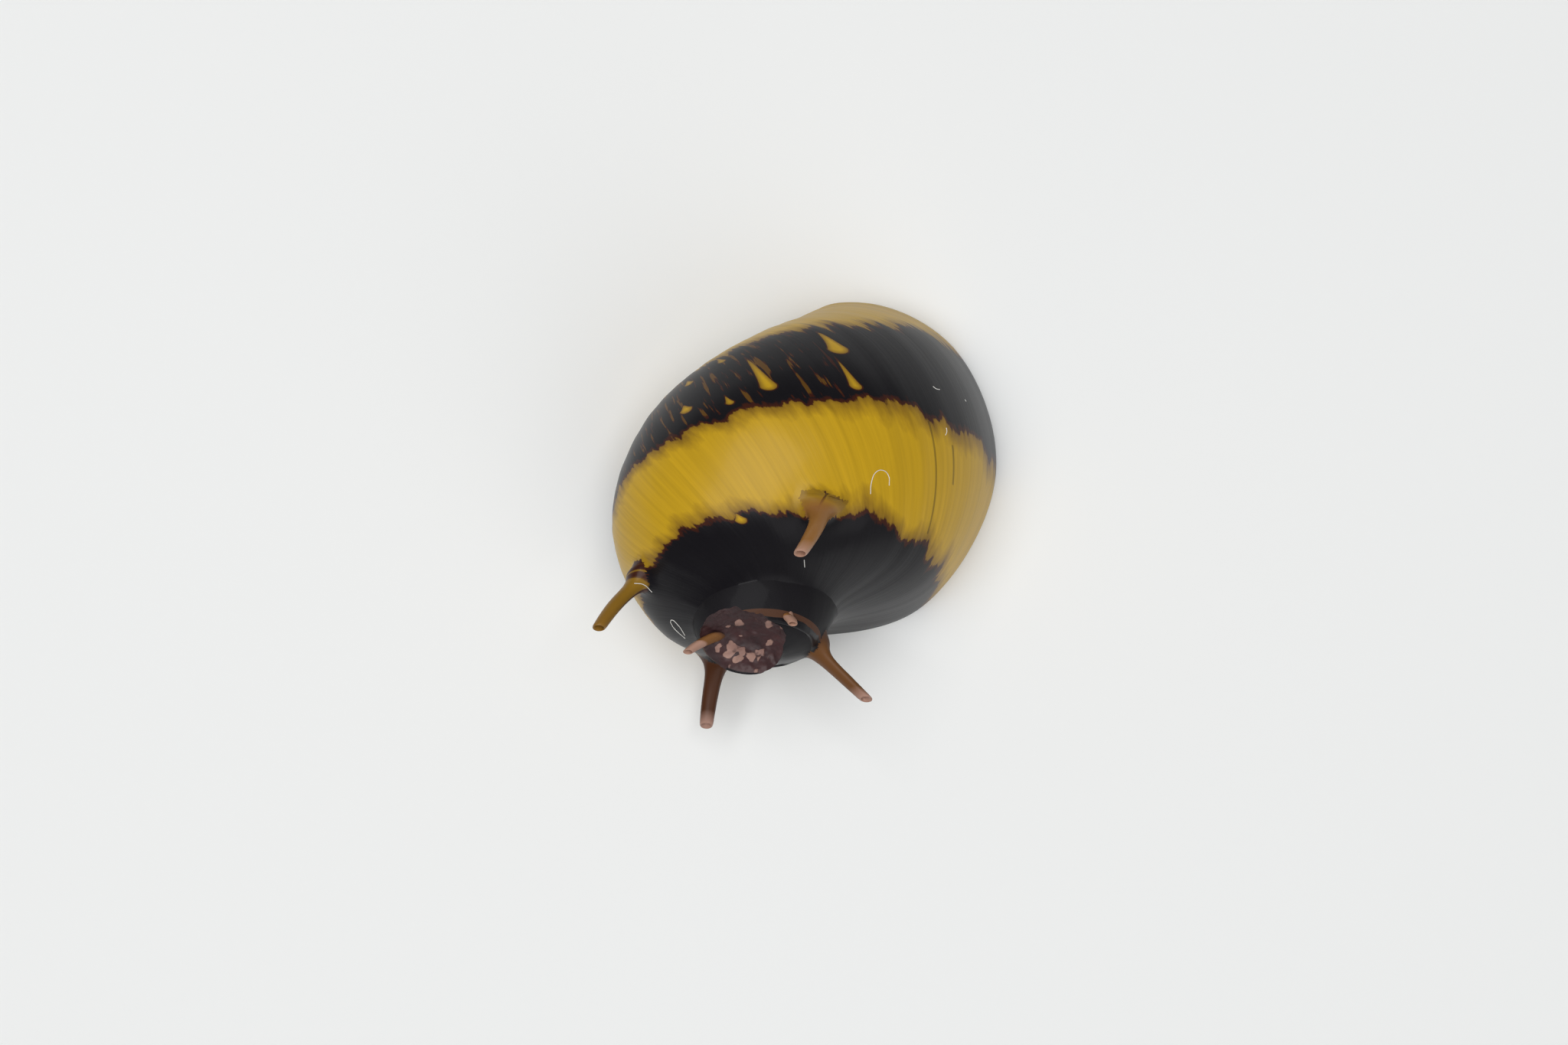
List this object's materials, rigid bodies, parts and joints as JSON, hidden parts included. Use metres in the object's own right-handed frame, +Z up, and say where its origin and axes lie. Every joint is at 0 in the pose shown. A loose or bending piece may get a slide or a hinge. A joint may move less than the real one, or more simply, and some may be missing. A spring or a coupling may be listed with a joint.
{
  "type": "horned nerite snail shell",
  "caption": "Empty right-handed coiled snail shell, black and yellow spiral bands, hollow horns on its shoulder, lying on its half-moon mouth.",
  "frame": {"origin": "middle of the flat shelf beside the mouth, in the plane of the mouth", "axes": "+Z up, square to the plane of the mouth; the spire points to -Y and leans up; the outer lip is on the +X side"},
  "size_m": [0.0159, 0.0171, 0.0116],
  "materials": {
    "shell": "glossy natural shell, black and mustard-yellow spiral bands"
  },
  "bodies": {
    "root": {"shell": "shell"}
  },
  "joints": []
}
